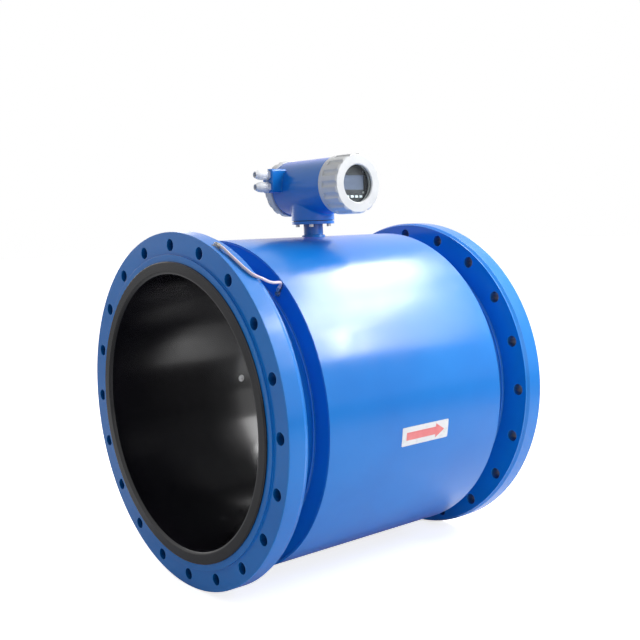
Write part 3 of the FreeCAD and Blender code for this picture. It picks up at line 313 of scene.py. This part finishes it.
def plastic(name, color, roughness, spread=0.06, grain=500.0):
    """Moulded plastic with a fine spark-eroded grain."""
    paint = Paint(name, color, roughness)
    lighter = tuple(c * (1 + spread) + spread * 0.02 for c in color)
    paint.color(paint.mix(paint.ramp(paint.noise(45.0, 4.0), 0, 1), color, lighter))
    paint.rough(paint.ramp(paint.noise(80.0), roughness - 0.05, roughness + 0.07))
    paint.soften(0.4 * MM)
    paint.bump(paint.noise(grain, 3.0), 0.05 * MM, 0.7)
    return paint.material


def window_glass():
    """Clear toughened glass that lets the lights reach the display."""
    paint = Paint("window_glass", (0.94, 0.98, 0.98), 0.02)
    paint.set(Transmission_Weight=1.0, IOR=1.2, Specular_IOR_Level=0.3)
    paint.rough(paint.ramp(paint.noise(35.0, 4.0), 0.0, 0.03))
    clear = paint.node("ShaderNodeBsdfTransparent")
    clear.inputs["Color"].default_value = (0.9, 0.95, 0.95, 1)
    rays = paint.node("ShaderNodeLightPath")
    blend = paint.node("ShaderNodeMixShader")
    paint.link(rays.outputs["Is Shadow Ray"], blend, 0)
    paint.link(paint.shader.outputs[0], blend, 1)
    paint.link(clear.outputs[0], blend, 2)
    paint.link(blend.outputs[0], paint.tree.nodes["Material Output"], "Surface")
    return paint.material


def lcd():
    """Switched-off liquid crystal panel with a fine grid of elements."""
    paint = Paint("lcd", (0.13, 0.16, 0.25), 0.18)
    grid = paint.compute("MULTIPLY", paint.bands(230.0, "X"), paint.bands(230.0, "Z"))
    paint.color(paint.mix(grid, (0.10, 0.12, 0.19), (0.16, 0.19, 0.28)))
    paint.rough(paint.ramp(paint.noise(50.0), 0.12, 0.22))
    return paint.material


def board_laminate():
    """Green solder mask over traces."""
    paint = Paint("board_laminate", (0.01, 0.13, 0.04), 0.35)
    traces = paint.ramp(paint.cells(160.0), 1, 0, 0.02, 0.05)
    paint.color(paint.mix(traces, (0.008, 0.10, 0.035), (0.03, 0.22, 0.08)))
    paint.bump(traces, 0.04 * MM)
    return paint.material


def label_film():
    paint = Paint("label_film", (0.86, 0.87, 0.88), 0.3)
    tint = paint.ramp(paint.noise(20.0, 5.0), 0, 1)
    paint.color(paint.mix(tint, (0.74, 0.75, 0.77), (0.80, 0.805, 0.82)))
    paint.rough(paint.ramp(paint.noise(60.0), 0.24, 0.36))
    paint.bump(paint.noise(60.0, 2.0), 0.15 * MM, 0.4)
    return paint.material


def arrow_ink():
    paint = Paint("arrow_ink", (0.80, 0.20, 0.21), 0.35)
    faded = paint.ramp(paint.noise(40.0, 5.0), 0, 1)
    paint.color(paint.mix(faded, (0.76, 0.17, 0.18), (0.84, 0.25, 0.26)))
    paint.rough(paint.ramp(paint.noise(90.0), 0.3, 0.42))
    return paint.material


def lead_sheath():
    """Pale sheath whose strands press faintly through."""
    paint = Paint("lead_sheath", (0.78, 0.66, 0.72), 0.3)
    paint.set(Subsurface_Weight=0.15, Subsurface_Scale=0.002)
    strands = paint.bands(180.0, "DIAGONAL", 2.0)
    paint.color(paint.mix(strands, (0.70, 0.58, 0.66), (0.84, 0.76, 0.80)))
    paint.bump(strands, 0.12 * MM, 0.6)
    return paint.material


MATERIALS = {
    "blue_paint": blue_enamel(),
    "white_paint": white_enamel(),
    "black_rubber": black_rubber(),
    "seal_rubber": seal_rubber(),
    "stainless": metal("stainless", (0.56, 0.56, 0.57), 0.3),
    "core_steel": core_steel(),
    "copper_winding": copper_winding(),
    "insulator": plastic("insulator", (0.74, 0.74, 0.70), 0.45),
    "glass": window_glass(),
    "bezel_plastic": plastic("bezel_plastic", (0.012, 0.014, 0.022), 0.5),
    "lcd_glass": lcd(),
    "key_plastic": plastic("key_plastic", (0.74, 0.78, 0.82), 0.38),
    "board_laminate": board_laminate(),
    "terminal_plastic": plastic("terminal_plastic", (0.012, 0.12, 0.035), 0.45),
    "gland_nylon": plastic("gland_nylon", (0.84, 0.85, 0.86), 0.32, 0.03, 320.0),
    "label_film": label_film(),
    "lead_sheath": lead_sheath(),
    "tinned_copper": metal("tinned_copper", (0.62, 0.60, 0.56), 0.35),
}
ARROW_INK = arrow_ink()


def dress_nodes():
    for part in frame["record"]["subparts"]:
        mesh = NODES[part["node"]].data
        mesh.materials.clear()
        mesh.materials.append(MATERIALS[part["material_slot"]])


# ------------------------------------------------------------------ mesh helpers
def piece(name, points, faces, material, body):
    mesh = bpy.data.meshes.new(name)
    mesh.from_pydata(points, [], faces)
    mesh.materials.append(material)
    for polygon in mesh.polygons:
        polygon.use_smooth = True
    mesh.update()
    made = bpy.data.objects.new(name, mesh)
    bpy.context.scene.collection.objects.link(made)
    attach(made, body)


def bead(name, path, across, outward, radius, pitch=BEAD_PITCH, closed=True):
    """Weld bead along a path: each ripple swells and laps over the one before it.

    across(i) and outward(i) are two unit vectors square to the path at its point i.
    """
    points = []
    count = len(path)
    sides = BEAD_SIDES
    travelled = 0.0
    for i, centre in enumerate(path):
        travelled += (centre - path[i - 1]).length if i else 0.0
        phase = (travelled / pitch) % 1.0
        wobble = BEAD_WOBBLE * noise.noise(centre * BEAD_WOBBLE_SCALE)
        swell = radius * (BEAD_TROUGH + BEAD_RIPPLE * math.sqrt(1.0 - phase) + wobble)
        for k in range(sides):
            turn = 2 * math.pi * k / sides
            offset = across(i) * math.cos(turn) + outward(i) * math.sin(turn)
            points.append(centre + offset * swell)
    faces = []
    for i in range(count if closed else count - 1):
        j = (i + 1) % count
        for k in range(sides):
            m = (k + 1) % sides
            faces.append((i * sides + k, j * sides + k, j * sides + m, i * sides + m))
    if not closed:
        faces.append(tuple(reversed(range(sides))))
        faces.append(tuple(range((count - 1) * sides, count * sides)))
    piece(name, points, faces, MATERIALS["blue_paint"], "sensor")


def ring_bead(name, x, ring_r, radius):
    """Weld bead round the pipe axis."""
    steps = int(2 * math.pi * ring_r / (BEAD_PITCH / RIPPLE_POINTS))
    turns = [2 * math.pi * i / steps for i in range(steps)]
    rays = [Vector((0, math.sin(t), math.cos(t))) for t in turns]
    path = [Vector((x, 0, 0)) + ray * ring_r for ray in rays]
    along = Vector((1, 0, 0))
    bead(name, path, lambda i: along, lambda i: rays[i], radius)


def pipe_welds():
    """Beads where the tube meets the flanges and end plates, and the plates meet the shell."""
    flange_back = FLANGE_HIGH.x
    plate_face = -PLATE_HIGH.x + WELD_LEG
    for end, side in (("inlet", 1), ("outlet", -1)):
        shell_x = -side * (SHELL_X - SHELL_BEAD_INSET)
        ring_bead(end + "_shell_weld", shell_x, SHELL_IN_R - SHELL_BEAD_SINK, SHELL_BEAD_R)
        ring_bead(end + "_flange_weld", side * (flange_back + BEAD_SET), TUBE_R + BEAD_SET, BEAD_R)
        ring_bead(end + "_plate_weld", side * (plate_face - BEAD_SET), TUBE_R + BEAD_SET, BEAD_R)


def neck_weld():
    """Saddle bead where the neck stands on the shell."""
    ring_r = NECK_R + NECK_BEAD_SET
    steps = int(2 * math.pi * ring_r / BEAD_STEP)
    turns = [2 * math.pi * i / steps for i in range(steps)]
    rays = [Vector((math.cos(t), math.sin(t), 0)) for t in turns]
    path = []
    for ray in rays:
        foot = Vector((NECK_AXIS_X, 0, 0)) + ray * ring_r
        crown = math.sqrt(SHELL_R ** 2 - foot.y ** 2)
        path.append(Vector((foot.x, foot.y, crown + NECK_BEAD_SET)))
    up = Vector((0, 0, 1))
    bead("neck_weld", path, lambda i: up, lambda i: rays[i], NECK_BEAD_R, NECK_BEAD_PITCH)


def shell_seam():
    """Long seam underneath, where the rolled shell closes."""
    half = SHELL_X - SEAM_END
    steps = int(2 * half / BEAD_STEP)
    across, down = Vector((0, 1, 0)), Vector((0, 0, -1))
    places = [-half + 2 * half * i / steps for i in range(steps + 1)]
    path = [Vector((x, 0, -SHELL_R + SEAM_SINK)) for x in places]
    bead("shell_seam", path, lambda i: across, lambda i: down, SEAM_R, closed=False)


def flow_arrow():
    """Arrow printed on the label, bent round the shell."""
    label_w = LABEL_HIGH.x - LABEL_LOW.x
    label_h = LABEL_HIGH.z - LABEL_LOW.z
    middle_x = (LABEL_HIGH.x + LABEL_LOW.x) / 2
    middle_z = (LABEL_HIGH.z + LABEL_LOW.z) / 2
    low_z = min(abs(LABEL_HIGH.z), abs(LABEL_LOW.z))
    label_r = math.hypot(LABEL_LOW.y, low_z) + PRINT_LIFT
    tail, tip = -ARROW_L * label_w / 2, ARROW_L * label_w / 2
    neck = tip - ARROW_HEAD_L * label_w
    body_half, head_half = ARROW_BODY * label_h / 2, ARROW_HEAD * label_h / 2
    shares = [i / ARROW_COLUMNS for i in range(ARROW_COLUMNS + 1)]
    sections = [(tail + (neck - tail) * share, body_half) for share in shares]
    sections += [(neck + (tip - neck) * share, head_half * (1 - share)) for share in shares]
    points, faces = [], []
    for x, half in sections:
        for k in range(ARROW_ROWS + 1):
            z = middle_z + half * (2 * k / ARROW_ROWS - 1)
            points.append((middle_x + x, -math.sqrt(label_r ** 2 - z * z), z))
    for i in range(len(sections) - 1):
        if i != ARROW_COLUMNS:
            for k in range(ARROW_ROWS):
                a = i * (ARROW_ROWS + 1) + k
                b = a + ARROW_ROWS + 1
                faces.append((a, b, b + 1, a + 1))
    piece("flow_arrow", points, faces, ARROW_INK, "sensor")


# ------------------------------------------------------------------ stage, lights and camera
def floor_material():
    """Pale floor: white where nothing shades it, with the object's shadow kept."""
    paint = Paint("floor", (0.86, 0.87, 0.88), 0.6)
    cloud = paint.ramp(paint.noise(3.0), 0, 1)
    paint.color(paint.mix(cloud, (0.85, 0.86, 0.87), (0.88, 0.885, 0.89)))
    rays = paint.node("ShaderNodeLightPath")
    paint.set(Emission_Color=(1, 1, 1, 1))
    glow = paint.compute("MULTIPLY", rays.outputs["Is Camera Ray"], FLOOR_GLOW)
    paint.link(glow, paint.shader, "Emission Strength")
    return paint.material


def build_floor():
    signs = ((-1, -1), (1, -1), (1, 1), (-1, 1))
    corners = [(x * FLOOR_HALF, y * FLOOR_HALF, FLOOR_Z) for x, y in signs]
    mesh = bpy.data.meshes.new("floor")
    mesh.from_pydata(corners, [], [(0, 1, 2, 3)])
    mesh.materials.append(floor_material())
    floor = bpy.data.objects.new("floor", mesh)
    bpy.context.scene.collection.objects.link(floor)


def build_world():
    """Even studio light, seen as white by the camera and in reflections."""
    world = bpy.data.worlds.new("studio")
    world.use_nodes = True
    bpy.context.scene.world = world
    tree = world.node_tree
    background = tree.nodes["Background"]
    background.inputs["Color"].default_value = (1, 1, 1, 1)
    rays = tree.nodes.new("ShaderNodeLightPath").outputs
    seen = rays["Is Camera Ray"]
    for kind in ("Is Glossy Ray", "Is Transmission Ray"):
        either = tree.nodes.new("ShaderNodeMath")
        either.operation = "MAXIMUM"
        tree.links.new(seen, either.inputs[0])
        tree.links.new(rays[kind], either.inputs[1])
        seen = either.outputs[0]
    level = tree.nodes.new("ShaderNodeMapRange")
    level.inputs["To Min"].default_value = WORLD_LEVEL
    level.inputs["To Max"].default_value = 1.0
    tree.links.new(seen, level.inputs["Value"])
    tree.links.new(level.outputs["Result"], background.inputs["Strength"])


def area_light(name, place, target, length, width, power, lie):
    """Soft panel that faces its target, with its length laid along a direction."""
    data = bpy.data.lights.new(name, "AREA")
    data.shape = "RECTANGLE"
    data.size = length
    data.size_y = width
    data.energy = power
    back = (Vector(place) - Vector(target)).normalized()
    along = (Vector(lie) - back * back.dot(Vector(lie))).normalized()
    turn = Matrix((along, back.cross(along), back)).transposed()
    light = bpy.data.objects.new(name, data)
    light.matrix_world = Matrix.Translation(place) @ turn.to_4x4()
    bpy.context.scene.collection.objects.link(light)


def build_lights():
    """A long softbox over the outlet end, two lower panels by it, and a broad fill each side."""
    area_light("overhead_softbox", (1.27, -0.53, 1.74), (0, -0.1, 0.3),
               1.8, 0.5, 45, (0.16, 1.0, 0.16))
    area_light("window", (1.02, -1.38, 1.12), (0.05, -0.25, 0.1),
               0.54, 0.07, 9, (-0.39, 1.0, 0.32))
    area_light("bore_glow", (1.2, -1.0, 1.12), (0, 0.27, -0.13),
               1.05, 0.35, 5.5, (0.03, 0.78, 0.73))
    area_light("side_fill", (0.3, -3.0, 0.9), (0, 0, 0.1), 2.4, 1.6, 12, (1, 0, 0))
    area_light("rear_fill", (0.3, 3.0, 1.0), (0, 0, 0.1), 2.4, 1.6, 16, (1, 0, 0))


CAMERA_PLACE = Vector((-1.40247, -1.76064, 0.39093))
CAMERA_YAW = math.radians(39.0465)
CAMERA_PITCH = math.radians(-8.607)
CAMERA_ROLL = math.radians(-1.9654)
CAMERA_LENS = 53.353
CAMERA_SHIFT_UP = 0.078


def build_camera():
    ahead = Vector((math.cos(CAMERA_PITCH) * math.sin(CAMERA_YAW),
                    math.cos(CAMERA_PITCH) * math.cos(CAMERA_YAW),
                    math.sin(CAMERA_PITCH)))
    right = ahead.cross(Vector((0, 0, 1))).normalized()
    up = right.cross(ahead)
    rolled_right = right * math.cos(CAMERA_ROLL) + up * math.sin(CAMERA_ROLL)
    rolled_up = up * math.cos(CAMERA_ROLL) - right * math.sin(CAMERA_ROLL)
    turn = Matrix((rolled_right, rolled_up, -ahead)).transposed()
    data = bpy.data.cameras.new("camera")
    data.lens = CAMERA_LENS
    data.sensor_width = 36.0
    data.shift_y = CAMERA_SHIFT_UP
    camera = bpy.data.objects.new("camera", data)
    camera.matrix_world = Matrix.Translation(CAMERA_PLACE) @ turn.to_4x4()
    bpy.context.scene.collection.objects.link(camera)
    bpy.context.scene.camera = camera


dress_nodes()
pipe_welds()
neck_weld()
shell_seam()
flow_arrow()
build_floor()
build_world()
build_lights()
build_camera()
bpy.context.scene.view_settings.view_transform = "Standard"
